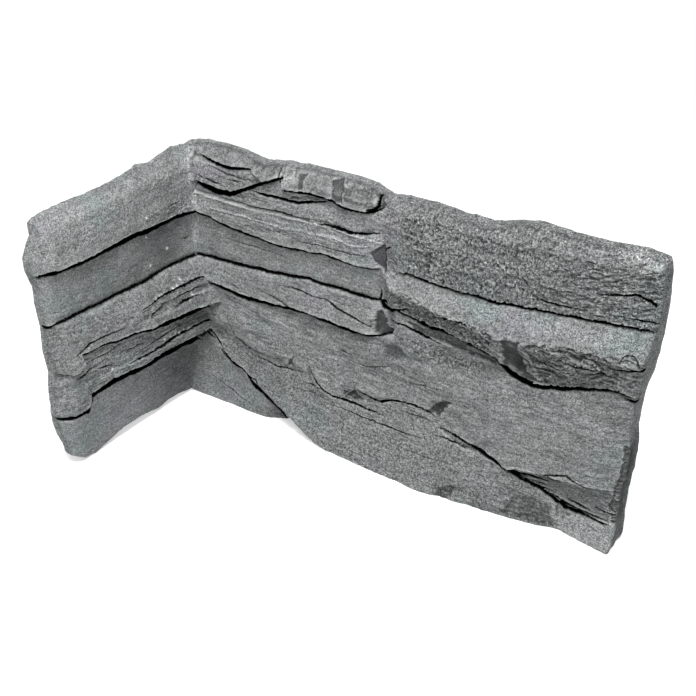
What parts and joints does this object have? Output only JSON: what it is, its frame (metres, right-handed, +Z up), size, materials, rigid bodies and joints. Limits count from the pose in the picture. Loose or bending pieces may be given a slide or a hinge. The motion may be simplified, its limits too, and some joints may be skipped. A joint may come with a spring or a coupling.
{
  "type": "stone cladding corner piece",
  "caption": "L-shaped inside-corner panel of cast stone wall cladding, its faces dressed as stacked slate ledges, with a long and a short leg",
  "frame": {"origin": "outer back corner edge of the L at its base, where the two back faces meet", "axes": "+X along the long leg, -Y along the short leg, +Z up. The long leg's back face looks towards +Y, the short leg's towards -X"},
  "size_m": [0.364, 0.165, 0.205],
  "materials": {
    "cast_stone": "matte"
  },
  "bodies": {
    "root": {"corner_panel": "cast_stone"}
  },
  "joints": []
}
